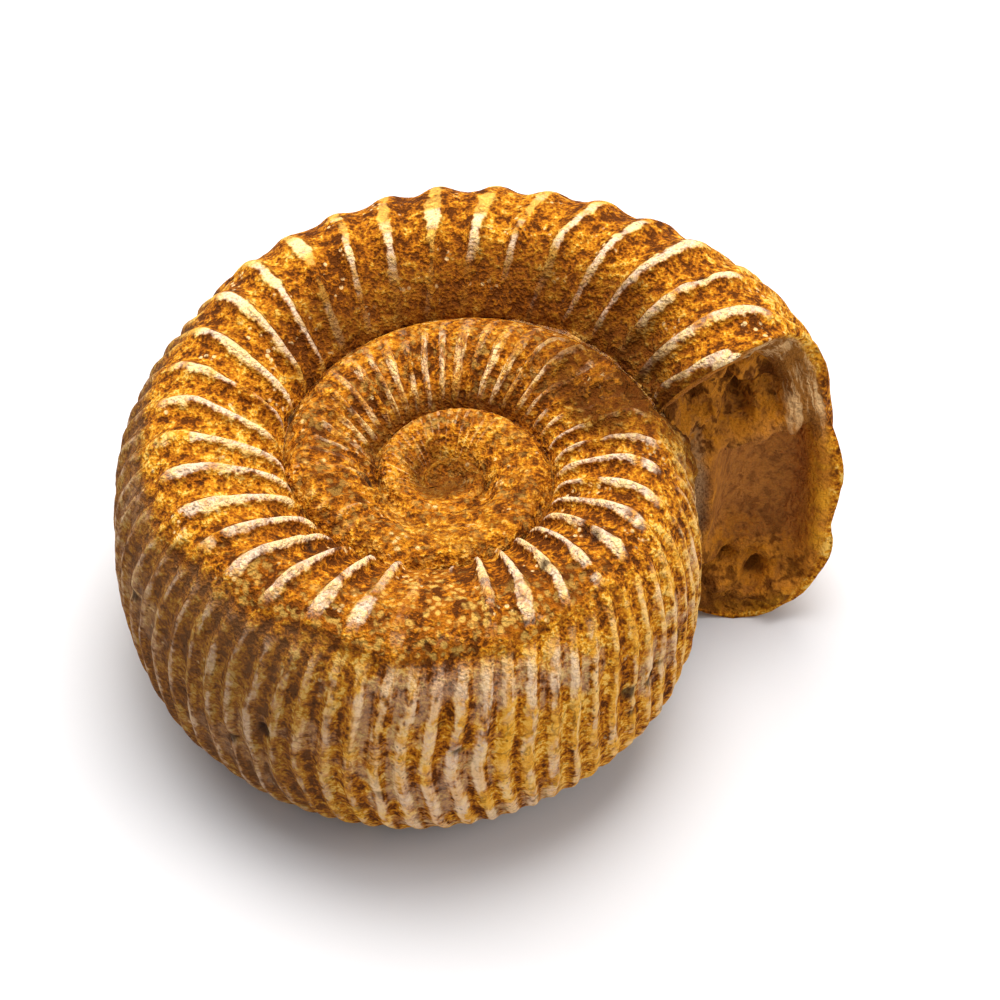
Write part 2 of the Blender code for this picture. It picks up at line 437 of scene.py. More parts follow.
def all_sheets(net):
    rings = RINGS_PER_TURN * RING_PARTS
    inner_rings = (LAST_RING - RINGS_PER_TURN) * RING_PARTS
    columns = 2 * (SEAM_COLUMNS + EDGE_COLUMNS)

    def outer_turn(count, row):
        station, side = whole_section(net, row)
        return {"ring": count / RING_PARTS, "station": station, "side": side}

    def flank(side):
        def numbers(count, row):
            under = net.math("COMPARE", row, SEAM_COLUMNS, 0.1)
            ring = RINGS_PER_TURN + count / RING_PARTS
            return {"ring": ring, "station": station_of(net, row), "side": side, "under": under}
        return numbers

    def broken_end(count, row):
        station, side = whole_section(net, row)
        return {"ring": 0.0, "station": station, "side": side, "inner": count / END_ROWS}

    def cap(side):
        def numbers(count, row):
            ring = LAST_RING - RINGS_PER_TURN + count / RING_PARTS
            column = net.math("MAXIMUM", count - rings, 0.0)
            return {
                "ring": net.math("MINIMUM", ring, LAST_RING),
                "station": column * (COVER / SEAM_COLUMNS),
                "side": side,
                "cap": row / CAP_ROWS,
            }
        return numbers

    return [
        sheet(net, rings, columns, True, outer_turn),
        sheet(net, inner_rings, SEAM_COLUMNS, True, flank(1.0)),
        sheet(net, inner_rings, SEAM_COLUMNS, False, flank(-1.0)),
        sheet(net, END_ROWS, columns, False, broken_end),
        sheet(net, rings + SEAM_COLUMNS, CAP_ROWS, False, cap(1.0)),
        sheet(net, rings + SEAM_COLUMNS, CAP_ROWS, True, cap(-1.0)),
    ]


# --- The smooth coil ---
def outer_radius(net, angle):
    swell = 1.0
    for middle, reach, share in SWELLS:
        swell = swell + net.bell(angle, middle, reach) * share
    closing = net.size["Closing"] * angle + net.size["Closing gain"] * angle * angle
    return net.size["Coil radius"] * swell * net.math("EXPONENT", -closing)


def half_thickness(net, angle):
    size = net.size
    shrink = size["Thickness per turn"] ** (angle / -math.tau)
    middle = size["Middle half thickness"]
    return size["Coil radius"] * (middle + (size["End half thickness"] - middle) * shrink)


def outer_part(net, station, radius, half):
    """Distance from the coil's axis, and height, from the crown round to the outer edge."""
    size = net.size
    quarter = net.clamp(0.0, 1.0, (station - CROWN) / (1.0 - CROWN)) * (math.pi / 2.0)
    power = 2.0 / size["Outer squareness"]
    crown_radius = radius * (1.0 - size["Outer bulge"])
    outward = crown_radius + radius * size["Outer bulge"] * net.math("SINE", quarter) ** power
    return outward, half * net.math("MAXIMUM", net.math("COSINE", quarter), 0.0) ** power


def inner_part(net, station, angle, radius, half):
    """The same from the seam on the turn inside it up to the crown."""
    size = net.size
    crown_radius = radius * (1.0 - size["Outer bulge"])
    turn_in = angle + math.tau
    seam_radius = size["Seam share"] * outer_radius(net, turn_in)
    seam_height = SEAM_HEIGHT * half_thickness(net, turn_in)
    quarter = net.clamp(0.0, 1.0, station / CROWN) * (math.pi / 2.0)
    power = 2.0 / size["Inner squareness"]
    inward = net.math("MAXIMUM", net.math("COSINE", quarter), 0.0) ** power
    upward = net.math("SINE", quarter) ** power
    across = crown_radius - (crown_radius - seam_radius) * inward
    return across, seam_height + (half - seam_height) * upward


def coil_point(net, ring, station, side):
    """Point of the smooth coil, its angle and the whorl's radius there."""
    size = net.size
    passed = net.choose(side * 0.5 + 0.5, 2.0 - station, station)
    push = net.math("MAXIMUM", 1.0 - ring / BREAK_RINGS, 0.0)
    broken = size["Break depth"] * net.bell(passed, BREAK_MIDDLE, BREAK_WIDTH) * push
    angle = FIRST_RING_ANGLE + ring * RING_STEP + size["Rib lean"] * (station - 0.5) + broken
    radius = outer_radius(net, angle)
    half = half_thickness(net, angle)
    outward, outward_height = outer_part(net, station, radius, half)
    inward, inward_height = inner_part(net, station, angle, radius, half)
    past_crown = net.compare("GREATER_EQUAL", station, CROWN)
    across = net.switch(past_crown, inward, outward)
    height = net.switch(past_crown, inward_height, outward_height)
    spread = 1.0 - net.smooth(0.0, size["Lip reach"], angle)
    lip = size["Lip drop"] / size["End half thickness"] * spread
    height = height * (1.0 + lip * (0.5 - side * 0.5))
    turned = angle + END_DIRECTION
    x = across * net.math("COSINE", turned)
    y = across * net.math("SINE", turned)
    return net.join_parts(x, y, side * height), angle, radius


def crushed(net, point):
    """Presses the coil slightly out of round."""
    along = Vector((math.cos(CRUSH_DIRECTION), math.sin(CRUSH_DIRECTION), 0.0))
    across = Vector((-along.y, along.x, 0.0))
    wider = net.scaled(along, net.dot(point, along) * CRUSH)
    return point + wider - net.scaled(across, net.dot(point, across) * CRUSH)


def silted_middle(net, point, side):
    """Raises the seams of the innermost turns to the level of the silt that fills them."""
    x, y, z = net.parts(point)
    across = net.math("SQRT", x * x + y * y)
    level = net.size["Silt height"] + SILT_RISE * net.math("MAXIMUM", -y, 0.0)
    fall = SILT_FALL * net.math("MAXIMUM", across - SILT_REACH, 0.0)
    level = net.math("MINIMUM", level, net.size["Silt top"]) - fall
    level = level + (net.noise(point, 500.0) - 0.5) * net.size["Silt unevenness"]
    return net.join_parts(x, y, net.math("SMOOTH_MAX", z * side, level, SILT_BLEND) * side)


# --- Where ribs, wear, crust and rubble lie, for the shape and for the colours ---
def late_fork(net, rib):
    """1 at the back, where the ribs stay whole until past the shoulder."""
    return net.band(*BACK_RIBS, rib)


def rib_field(net, rib, passed):
    """Distance to the nearest rib line in rib spacings, its number, and the station."""
    station = net.math("MINIMUM", passed, 2.0 - passed)
    late = late_fork(net, rib) * LATE_FORK
    rib = rib + DENSER_RIBS * net.math("MAXIMUM", rib - DENSER_FROM, 0.0)
    wander = net.noise(net.join_parts(rib * 0.8, passed * 3.5, 0.0), 1.0, 1.0)
    crowded = net.smooth(DENSER_FROM, DENSER_FROM + 4.0, rib)
    rib = rib + (wander - 0.5) * (RIB_WANDER + INNER_RIB_WANDER * crowded)
    own = net.noise(net.join_parts(net.math("FLOOR", rib) * 3.7, 0.0, 9.0), 1.0, 0.0)
    fork_place = own * FORK_SPREAD
    fork = net.smooth(FORK[0] + fork_place + late, FORK[1] + fork_place + late, station)
    main = net.math("ABSOLUTE", rib - net.math("ROUND", rib))
    branch = net.math("ABSOLUTE", net.math("WRAP", rib - fork * 0.5, 0.5, -0.5))
    grown = net.smooth(0.25, 0.8, fork)
    line = net.math("MINIMUM", main, branch + 0.25 * (1.0 - grown))
    return line, net.math("ROUND", rib * (1.0 + net.smooth(0.2, 0.3, fork))), station


def rib_strength(net, number, passed):
    """0 where a rib is rubbed away, 1 where it stands."""
    return net.smooth(0.2, 0.55, net.noise(net.join_parts(number * 5.3, passed * 3.0, 4.0), 1.0))


def rib_foot(net, number, station):
    """How broad a rib's foot is at the shoulder."""
    own = net.noise(net.join_parts(number * 3.1, 2.0, 7.0), 1.0, 0.0)
    return net.smooth(0.5, 0.62, own) * net.bell(station, 0.46, 0.07)


def silted_shoulder(net, around, station):
    """1 along the outer side of the second turn at the back, where silt hides the ribs."""
    return net.band(*SILTED_SHOULDER, around) * net.smooth(*SILTED_SHOULDER_EDGE, station)


def worn_share(net, around, station):
    """How far ribs are rubbed down or hidden: on the inner turns, by the end and at the back."""
    worn = [net.smooth(start, end, around) * share for start, end, share in WORN_TURNS]
    worn.append(net.bell(around, 6.62, 0.34) * net.smooth(0.2, 0.36, station) * 0.9)
    low_wall = 1.0 - net.smooth(*WORN_WALL_TOP, station)
    worn.append(net.band(*WORN_WALL, around) * low_wall * 0.85)
    worn.append(silted_shoulder(net, around, station) * 0.8)
    return net.math("MINIMUM", summed(worn), 1.0)


def rubble_shares(net, around, station):
    """Where rough matrix clings: by the broken end, and on the inner turns and the wall."""
    by_end = net.band(*RUBBLE_BY_END, around) * (1.0 - net.smooth(0.1, 0.3, station))
    beside_end = net.bell(around, 6.62, 0.38) * net.smooth(0.16, 0.32, station) * 1.5
    clinging = [net.band(*place, around) * share for *place, share in RUBBLE_ON_TURNS]
    low_wall = 1.0 - net.smooth(0.12, 0.27, station)
    clinging.append(net.band(*RUBBLE_ON_WALL, around) * low_wall * 0.8)
    return net.math("MINIMUM", by_end + beside_end, 1.4), summed(clinging)


def raggedness(net, here):
    """How far the broken lower edge of the flank layer wanders, in stations."""
    fine = (net.noise(here, 260.0, 3.0, 0.6) - 0.5) * 0.16
    return fine + (net.noise(here, 85.0, 1.0) - 0.5) * 0.26


def crust_shares(net, around, passed, station, ragged):
    """Where the flank layer lies, its crust, where it buries the ribs, and the line of painted shadow
    under its ragged lower edge.
    """
    upper = net.math("LESS_THAN", passed, 1.0)
    shoulder = station + ragged
    reach = net.band(*LAYER, around) * upper
    layer = reach * (1.0 - net.smooth(*LAYER_EDGE, shoulder))
    ledge_shadow = reach * net.bell(shoulder, *LEDGE)
    crust = layer * net.smooth(3.4, 3.9, around) * net.smooth(0.3, 0.48, station)
    buried = net.band(*BURIED, around + ragged * 2.0) * net.band(*BURIED_FLANK, station) * upper
    return layer, crust, buried, ledge_shadow


def end_rubble(net, inner, passed):
    """The rough upper part of the broken face and the rough lower part."""
    upper = net.band(0.44, 0.91, 0.04, passed) * net.smooth(0.2, 0.34, inner)
    return upper + net.band(1.23, 1.65, 0.05, passed) * 0.7


def end_outer_band(net, inner, passed):
    """The layered strip along the outer side of the broken face."""
    return (1.0 - net.smooth(*END_OUTER_BAND_EDGE, inner)) * net.band(*END_OUTER_BAND, passed)


# --- The relief of the stone ---
def rib_rise(net, around, passed, line, number, station, buried):
    """Height of the ribs, as a share of the whorl's radius."""
    low = late_fork(net, net.number("rib")) * net.smooth(0.26, 0.46, station)
    reach = late_fork(net, net.number("rib")) * LATE_SHOULDER
    strength = rib_strength(net, number, passed)
    width = 0.2 - 0.07 * net.smooth(0.45, 0.7, station) + 0.12 * rib_foot(net, number, station)
    width = width + 0.06 * net.smooth(6.3, 7.0, around)
    body = net.math("EXPONENT", -((line / (width + 0.12 * low)) ** 2.4))
    keel = net.math("EXPONENT", -((line / (width * 0.5)) ** 2.0))
    flank = net.smooth(0.03, 0.18, station) * (1.0 - net.smooth(0.4 + reach, 0.6 + reach, station))
    flank = flank * (1.0 - 0.62 * low)
    edge = 0.45 * net.smooth(0.42, 0.6, station) + 0.55 * net.smooth(0.6, 0.85, station)
    edge = edge * (1.0 - 0.35 * low)
    height = net.size["Rib height"] * flank + net.size["Fine rib height"] * edge
    keel_share = 0.36 * (1.0 - net.smooth(0.4, 0.55, station)) * (1.0 - low)
    rise = height * net.choose(keel_share, body, keel) * (0.5 + 0.5 * strength)
    return rise * (1.0 - worn_share(net, around, station)) * (1.0 - 0.85 * buried)


def pit_share(net, here):
    clustered = net.smooth(0.54, 0.64, net.noise(here, PIT_CLUSTERS))
    return (1.0 - net.smooth(0.08, 0.42, net.cells(here, PITS))) * clustered


def surface_rise(net, here, lumps, crumb):
    """Height of everything that stands on the smooth coil, as a share of the whorl's radius."""
    size = net.size
    around, passed, radius = net.number("around"), net.number("passed"), net.number("radius")
    line, number, station = rib_field(net, net.number("rib"), passed)
    ragged = raggedness(net, here)
    layer, crust, buried, _ = crust_shares(net, around, passed, station, ragged)
    rise = rib_rise(net, around, passed, line, number, station, buried)
    rise = rise + (layer * 0.45 + crust * 0.55) * size["Crust height"]
    rise = rise + lumps * size["Lump height"] * 2.0
    at_seam = net.smooth(6.1, 8.2, around) * 0.4 * (1.0 - net.smooth(0.03, 0.1, station))
    rise = rise + crumb * size["Crumb height"] * (0.55 + crust * 1.1 + buried * 1.4 + at_seam)
    notch = net.bell(passed, 0.925, 0.035) * -0.014 + net.bell(passed, 0.84, 0.05) * 0.008
    rise = rise + notch * (1.0 - net.smooth(0.0, 0.3, around))
    rise = rise - pit_share(net, here) * size["Pit depth"]
    rim_lumps = (net.noise(here, RIM_LUMPS, 1.0) - 0.5) * (1.0 - net.smooth(0.05, 0.3, around))
    rise = rise + rim_lumps * net.smooth(0.9, 1.1, passed) * size["Rim lump height"]
    scar, matrix = rubble_shares(net, around, station)
    clods = net.noise(here, CLODS, 4.0, 0.68) - 0.5
    rubble = (clods + lumps * 0.8) * (scar + matrix * 0.6) * size["Rubble height"] / radius
    return (rise + rubble) * outside_share(net) * net.smooth(0.002, 0.005, radius)


def outside_share(net):
    """1 on the coil itself, 0 on the broken face and the caps in the middle."""
    inner, cap = net.number("inner"), net.number("cap")
    return (1.0 - net.smooth(0.0, 0.04, inner)) * (1.0 - net.smooth(0.0, 0.3, cap))


def end_face_depth(net, inner, passed, wander):
    """How far the broken face lies back from the rim, as a share of the coil's radius."""
    hollow = net.band(0.17, 0.73, 0.1, inner) * net.smooth(0.9, 0.97, passed + wander)
    hollow = hollow * (1.0 - 0.7 * net.smooth(1.2, 1.27, passed))
    hollow = hollow * (1.0 - net.smooth(1.45, 1.7, passed))
    depth = hollow * net.size["Hollow depth"]
    depth = depth - net.bell(inner, 0.8, 0.045) * net.band(0.95, 1.35, 0.1, passed) * 0.025
    depth = depth + net.band(0.25, 0.9, 0.08, inner) * net.band(0.5, 0.9, 0.08, passed) * 0.045
    for place, side_place, deep in END_PITS:
        pit = net.bell(inner, place, 0.075) * net.bell(passed, side_place, 0.055)
        depth = depth + pit * deep
    for place, side_place, high in END_LUMPS:
        lump = net.bell(inner, place, 0.09) * net.bell(passed, side_place, 0.07)
        depth = depth - lump * high
    return depth


def end_face_offset(net, here, lumps, crumb):
    """How far the broken face lies back, with its shards and layers, in metres."""
    inner, passed = net.number("inner"), net.number("passed")
    radius = net.size["Coil radius"]
    wander = (net.noise(here, RIM_LUMPS, 2.0, 0.6) - 0.5) * 0.2
    back = end_face_depth(net, inner, passed, wander) * radius * net.smooth(0.0, 0.05, inner)
    blocks = (net.cells(here, BLOCKS, "MANHATTAN") - 0.7) * 0.075
    shards = blocks + (net.noise(here, SHARDS, 3.0, 0.62) - 0.5) * 0.17
    layers = net.noise(net.join_parts(inner * 18.0, passed * 6.0, 1.0), 1.0, 3.0, 0.65) - 0.5
    rough = shards * end_rubble(net, inner, passed) + lumps * 0.05 + crumb * 0.012
    rough = rough + layers * end_outer_band(net, inner, passed) * 0.07
    return back + rough * radius * net.band(0.05, 0.95, 0.05, inner)


# --- The coil's tree ---
def joined_sheets(net):
    joined = net.tree.nodes.new("GeometryNodeJoinGeometry")
    for grid in all_sheets(net):
        net.tree.links.new(grid.socket, joined.inputs[0])
    return Sock(net, joined.outputs[0])


def share_seams(net, coil):
    """Gives the points at a seam the ring and station of the turn that they lie on."""
    ring, station = net.number("ring"), net.number("station")
    lies_on = net.compare("LESS_THAN", ring, LAST_RING - RINGS_PER_TURN + 0.01)
    at_seam = net.both(net.compare("LESS_THAN", station, 0.0001), lies_on)
    past_first = net.compare("GREATER_THAN", ring, RINGS_PER_TURN - 0.01)
    on_seam = net.both(past_first, net.number("under"))
    coil = net.store(coil, "shared", net.switch(at_seam, 0.0, 1.0))
    seam = net.math("MAXIMUM", net.number("shared"), net.switch(on_seam, 0.0, 1.0))
    coil = net.store(coil, "seam", seam)
    is_shared = net.compare("GREATER_THAN", net.number("shared"), 0.5)
    coil = net.store(coil, "ring", net.switch(is_shared, ring, ring + RINGS_PER_TURN))
    return net.store(coil, "station", net.switch(is_shared, station, COVER))


def bent_to_coil(net, coil):
    """Bends the sheets to the smooth coil, and stores what the relief and the colours follow."""
    size = net.size
    ring, station, side = net.number("ring"), net.number("station"), net.number("side")
    point, angle, radius = coil_point(net, ring, station, side)
    covered = net.math("MAXIMUM", station, COVER)
    inner_point, _, _ = coil_point(net, RINGS_PER_TURN, covered, side)
    last_angle = FIRST_RING_ANGLE + (LAST_RING + RINGS_PER_TURN) * RING_STEP
    cap_middle = net.join_parts(0.0, 0.0, half_thickness(net, last_angle) * side)
    placed = net.mix_vectors(net.number("inner"), point, inner_point)
    placed = net.mix_vectors(net.number("cap"), placed, cap_middle)
    placed = silted_middle(net, placed, side)
    rib = (angle - size["Rib lean"] * (station - 0.5) - FIRST_RIB_ANGLE) / RIB_SPACING
    coil = net.store(coil, "around", angle)
    coil = net.store(coil, "rib", rib)
    coil = net.store(coil, "passed", net.choose(side * 0.5 + 0.5, 2.0 - station, station))
    coil = net.store(coil, "radius", radius)
    coil = net.move(coil, {"Position": crushed(net, placed)})
    values = {"Geometry": coil, "Distance": MERGE_DISTANCE}
    return net.node("GeometryNodeMergeByDistance", {}, values)


def with_relief(net, coil):
    here = net.node("GeometryNodeInputPosition")
    normal = net.node("GeometryNodeInputNormal")
    lumps = net.noise(here, LUMPS) - 0.5
    crumb = net.noise(here, CRUMBS, 3.0, 0.65) - 0.5
    coil = net.store(coil, "pit", pit_share(net, here) * outside_share(net))
    rise = surface_rise(net, here, lumps, crumb) * net.number("radius")
    offset = net.scaled(normal, rise * (1.0 - 0.7 * net.number("seam")))
    back = end_face_offset(net, here, lumps, crumb)
    return net.move(coil, {"Offset": offset + net.join_parts(0.0, back, 0.0)})


def laid_down(net, coil):
    """Tilts the coil as it lies, and presses its lowest points flat on the surface."""
    axis = (-math.sin(TILT_DIRECTION), math.cos(TILT_DIRECTION), 0.0)
    here = net.node("GeometryNodeInputPosition")
    values = {"Vector": here, "Axis": axis, "Angle": -TILT}
    turned = net.node("ShaderNodeVectorRotate", {"rotation_type": "AXIS_ANGLE"}, values)
    x, y, z = net.parts(turned + COIL_MIDDLE)
    return net.move(coil, {"Position": net.join_parts(x, y, net.math("MAXIMUM", z, 0.0))})


def coil_tree():
    net = GeometryNet("coil_of_stone", SIZES)
    coil = share_seams(net, joined_sheets(net))
    coil = with_relief(net, bent_to_coil(net, coil))
    coil = laid_down(net, coil)
    coil = net.node("GeometryNodeRealizeInstances", {}, {"Geometry": coil})
    values = {"Geometry": coil, "Material": net.size["Stone"]}
    coil = net.node("GeometryNodeSetMaterial", {}, values)
    result = net.tree.nodes.new("NodeGroupOutput")
    net.tree.links.new(coil.socket, result.inputs[0])
    return net.tree


def made_by(tree, name, values):
    """Runs a tree once and keeps its result as a plain mesh object."""
    maker = bpy.data.objects.new(name + "_maker", bpy.data.meshes.new(name + "_maker"))
    bpy.context.scene.collection.objects.link(maker)
    modifier = maker.modifiers.new("coil", "NODES")
    modifier.node_group = tree
    for item in tree.interface.items_tree:
        if item.in_out == "INPUT":
            modifier[item.identifier] = values[item.name]
    evaluated = maker.evaluated_get(bpy.context.evaluated_depsgraph_get())
    mesh = bpy.data.meshes.new_from_object(evaluated)
    bpy.data.objects.remove(maker, do_unlink=True)
    mesh.name = name
    mesh.materials.clear()
    mesh.materials.append(values["Stone"])
    mesh.polygons.foreach_set("material_index", [0] * len(mesh.polygons))
    piece = bpy.data.objects.new(name, mesh)
    bpy.context.scene.collection.objects.link(piece)
    return piece


# --- The look of the stone ---
class StonePoint:
    """What the colours know about a point of the stone: its place, and noise of several sizes."""

    def __init__(self, net):
        self.around = net.attribute("around")
        self.passed = net.attribute("passed")
        self.rib = net.attribute("rib")
        self.seam = net.attribute("seam")
        self.inner = net.attribute("inner")
        self.pit = net.attribute("pit")
        self.cap = net.attribute("cap")
        self.here = net.node("ShaderNodeTexCoord", {}, {}, "Object")
        self.patch = net.noise(self.here, 95.0, 2.0, 0.55)
        self.mottle = net.noise(self.here, 340.0, 3.0, 0.6)
        self.clods = net.noise(self.here, 300.0, 3.0, 0.68)
        self.fine = net.noise(self.here, 1200.0, 2.0, 0.65)
        self.grit = net.noise(self.here, 3600.0, 1.0, 0.6)
        self.streak = net.noise(
            net.join_parts(self.rib * 5.0, self.passed * 4.0, 3.0), 1.0, 2.0, 0.6)
        self.line, self.number, self.station = rib_field(net, self.rib, self.passed)
        self.foot = rib_foot(net, self.number, self.station)
        self.worn = worn_share(net, self.around, self.station)
        self.ragged = raggedness(net, self.here)
        _, self.crust, self.buried, self.ledge_shadow = crust_shares(
            net, self.around, self.passed, self.station, self.ragged)
        self.scar, self.matrix = rubble_shares(net, self.around, self.station)
        self.edge = net.smooth(0.57, 0.66, self.station + self.ragged)
        self.on_edge = net.smooth(0.62, 0.72, self.station)
        left = (1.0 - net.smooth(3.9, 4.5, self.around)) * net.smooth(1.9, 2.7, self.around)
        # The left outer edge, where shade is painted into the colour.
        self.painted_shade_left_edge = self.edge * left
        self.front_edge = self.edge * net.smooth(4.1, 4.5, self.around)
        self.denser = net.smooth(6.3, 7.0, self.around)
        self.broken_face = net.smooth(0.01, 0.06, self.inner)


def ochre_ground(net, at):
    """Rust to gold by a mottled tone: darker in the grooves, at the back and on the inner turns, with
    painted shade on the left outer edge.
    """
    tone = 0.52 + (at.mottle - 0.5) * (1.8 - 0.6 * at.edge)
    tone = tone + (at.fine - 0.5) * 2.3 + (at.grit - 0.5) * 1.4
    tone = tone + (at.patch - 0.5) * 0.9 + (at.streak - 0.5) * 1.6 * at.edge
    groove = net.smooth(0.1, 0.24, at.line) * (1.0 - at.worn)
    tone = tone - groove * 0.14 + (1.0 - groove) * 0.05 - at.worn * 0.08 + at.front_edge * 0.16
    # Painted shade in the grooves of the left outer edge.
    tone = tone - net.smooth(0.08, 0.2, at.line) * at.painted_shade_left_edge * 0.22
    for place, reach, share in TONE_BELLS:
        tone = tone + net.bell(at.around, place, reach) * share
    tone = tone - net.smooth(6.3, 7.2, at.around) * 0.12
    front_flank = net.band(3.35, 5.7, 0.25, at.around) * (1.0 - at.edge)
    tone = tone - front_flank * 0.19 - at.front_edge * 0.08
    ochre = net.node("ShaderNodeValToRGB", {"stops": OCHRE_STOPS}, {"Fac": tone})
    # The left outer edge turns to a dark brown: painted shade, partly its own darker stone.
    return net.mix_colour(at.painted_shade_left_edge * 0.65, ochre, PAINTED_SHADE_BROWN)


def crest_width(net, at, front):
    """Half width of the pale line on a rib, in rib spacings."""
    width = 0.085 + 0.05 * net.smooth(0.12, 0.4, at.station) * front
    width = width + 0.09 * at.foot + 0.06 * at.denser
    width = width + 0.07 * net.band(7.2, 9.0, 0.3, at.around)
    width = width + (at.fine - 0.5) * 0.16 + (at.mottle - 0.5) * 0.24
    edge_width = 0.06 + 0.04 * net.bell(at.around, 4.75, 0.4)
    edge_width = edge_width + (at.fine - 0.5) * 0.16 + (at.streak - 0.5) * 0.26
    return net.choose(at.on_edge, width, edge_width - 0.02 * at.painted_shade_left_edge)


def shell_left(net, at, front):
    """Where shell is left on the ribs, and how much of the rib's length may carry it."""
    lift = [net.bell(at.around, place, reach) * share for place, reach, share in SHELL_BELLS]
    by_end = at.on_edge * 0.5 * (1.0 - net.smooth(0.25, 0.6, at.around))
    own = net.noise(net.join_parts(at.number * 4.7, at.passed * 5.0, 2.0), 1.0, 2.0, 0.6)
    left = net.smooth(0.42, 0.5, own + (summed(lift) + front * 0.07 - by_end))
    along_rib = net.noise(net.join_parts(at.rib * 2.6, at.passed * 9.0, 6.0), 1.0, 2.0, 0.65)
    flakes = net.smooth(0.47, 0.56, along_rib + at.front_edge * 0.02)
    flaking = net.math("MAXIMUM", at.on_edge * 0.9, at.denser * 0.85)
    left = left * net.choose(flaking, 1.0, flakes)
    on_flank = net.band(0.1, 0.52, 0.04, at.station + at.ragged * 0.5)
    on_outer = at.on_edge * (0.32 + 0.33 * at.front_edge + 0.2 * at.painted_shade_left_edge)
    part = net.math("MAXIMUM", on_flank, on_outer)
    return left, part * (1.0 - at.worn) * (1.0 - at.buried)


def shell_colour(net, at):
    """Cream and lilac shell, more golden on the outer edge, and darker grey on the left outer edge:
    partly greyer shell, partly painted shade.
    """
    blend = net.smooth(0.44, 0.58, at.mottle * 0.5 + at.fine * 0.5)
    pale = net.mix_colour(blend, LILAC, CREAM)
    outer = at.on_edge * 0.55 * (1.0 - net.bell(at.around, 4.7, 0.5))
    pale = net.mix_colour(net.math("MAXIMUM", outer, at.denser * 0.3), pale, PALE_GOLD)
    return net.mix_colour(at.painted_shade_left_edge, pale, SHELL_IN_PAINTED_SHADE)


def crested(net, at, colour):
    """Adds golden crests, pale shell on them and a line of painted shade at their foot. Gives crest and
    shell too.
    """
    front = net.band(3.3, 6.2, 0.4, at.around)
    width = crest_width(net, at, front)
    crest = 1.0 - net.smooth(width - 0.028, width + 0.034 + 0.02 * at.on_edge, at.line)
    left, part = shell_left(net, at, front)
    shell = crest * left * part * (0.75 + 0.5 * net.smooth(0.62, 0.45, at.grit))
    shell = shell * (0.68 + 0.32 * net.smooth(0.4, 0.53, at.clods * 0.5 + at.fine * 0.5))
    # Painted shade: a dark line along the foot of each crest, beside the raised rib.
    foot_shade_line = net.bell(at.line, width + 0.05, 0.035) * left * part * (1.0 - at.denser)
    colour = net.mix_colour(foot_shade_line * (0.6 - 0.25 * at.edge), colour, DEEP_RUST_AND_SHADE)
    golden = crest * at.on_edge * (0.15 + 0.55 * at.front_edge - 0.15 * at.painted_shade_left_edge)
    golden = golden * net.smooth(0.38, 0.52, at.mottle)
    colour = net.mix_colour(golden, colour, YELLOW_GOLD)
    at_back = crest * (1.0 - at.on_edge) * (1.0 - at.worn) * net.band(0.7, 2.6, 0.3, at.around)
    at_back = at_back * net.smooth(0.36, 0.5, at.mottle)
    colour = net.mix_colour(at_back * 0.6, colour, PALE_GOLD)
    return net.mix_colour(shell, colour, shell_colour(net, at)), crest, shell


def grey_patches(net, at, crest, colour):
    near = net.bell(at.around, 4.6, 0.35) * 0.1 + net.bell(at.station, 0.95, 0.15) * 0.03 - 0.04
    some = net.smooth(0.52, 0.6, net.noise(at.here, 150.0, 2.0, 0.65) + near)
    grey = at.on_edge * some * net.smooth(0.4, 0.55, at.fine * 0.4 + at.streak * 0.6)
    grey = grey * (1.0 - 0.6 * at.painted_shade_left_edge) * net.smooth(0.3, 0.9, at.around)
    tint = net.mix_colour(crest, GREY_LILAC, LILAC)
    return net.mix_colour(grey * 0.55, colour, tint), grey


def granular(net, at, colour):
    """Pale flecks everywhere, and coarse grains on the crust and where it buries the ribs."""
    grains = net.cells(at.here, 1500.0)
    uneven = grains + (at.mottle - 0.5) * 0.9 + (at.fine - 0.5) * 1.1
    grain = net.mix_colour(net.smooth(0.25, 0.6, uneven), PALE_GOLD, RUST)
    fleck = net.smooth(0.34, 0.2, grains) * net.smooth(0.57, 0.62, at.clods)
    colour = net.mix_colour(fleck * (1.0 - 0.6 * at.edge) * 0.75, colour, CREAM)
    inner_turns = net.smooth(6.3, 7.5, at.around) * 0.3
    crumbly = net.highest(at.crust * 0.5, at.buried * 0.7, inner_turns)
    return net.mix_colour(crumbly * net.smooth(0.42, 0.54, net.noise(at.here, 700.0)), colour, grain)


def darkened(net, at, colour):
    """Painted shade along the seams, on the low wall by the end and the inner wall, under the ragged
    edge of the flank layer and in the hollow middle; dark and ochre matrix on the rubble.
    """
    low_wall = 1.0 - net.smooth(0.16, 0.34, at.station + at.ragged)
    wall = net.band(-1.0, 2.3, 0.3, at.around) * low_wall
    # Painted shadow under the ragged lower edge of the flank layer.
    ledge_shadow = at.ledge_shadow * 0.8 * net.smooth(0.42, 0.52, at.patch)
    inner_wall = net.band(6.9, 9.2, 0.3, at.around) * (1.0 - net.smooth(0.08, 0.2, at.station))
    last_wall = (1.0 - net.smooth(0.12, 0.3, at.station)) * net.smooth(13.5, 14.5, at.around)
    middle = last_wall + at.cap + net.smooth(17.7, 18.6, at.around) * 0.8
    # Painted shade in the seams, on the low walls and in the middle; the scar share is dark matrix on
    # the rubble by the end.
    dark = net.highest(ledge_shadow, at.seam * 0.6, wall * 0.75, at.scar * 0.85, inner_wall * 0.8)
    dark = net.math("MINIMUM", dark, 0.95)
    dark = net.math("MAXIMUM", dark, net.math("MINIMUM", middle, 1.0) * 0.85)
    blotch = net.smooth(0.37, 0.53, at.mottle * 0.55 + at.fine * 0.45)
    colour = net.mix_colour(dark * blotch, colour, DEEP_RUST_AND_SHADE)
    clinging = net.math("MINIMUM", net.math("MAXIMUM", at.scar, at.matrix * 0.5), 1.0)
    clods = at.clods * 0.6 + at.fine * 0.4
    colour = net.mix_colour(net.smooth(0.55, 0.45, clods) * clinging * 0.8, colour, DEEP_RUST_AND_SHADE)
    return net.mix_colour(net.smooth(0.56, 0.66, clods) * clinging * 0.5, colour, OCHRE)


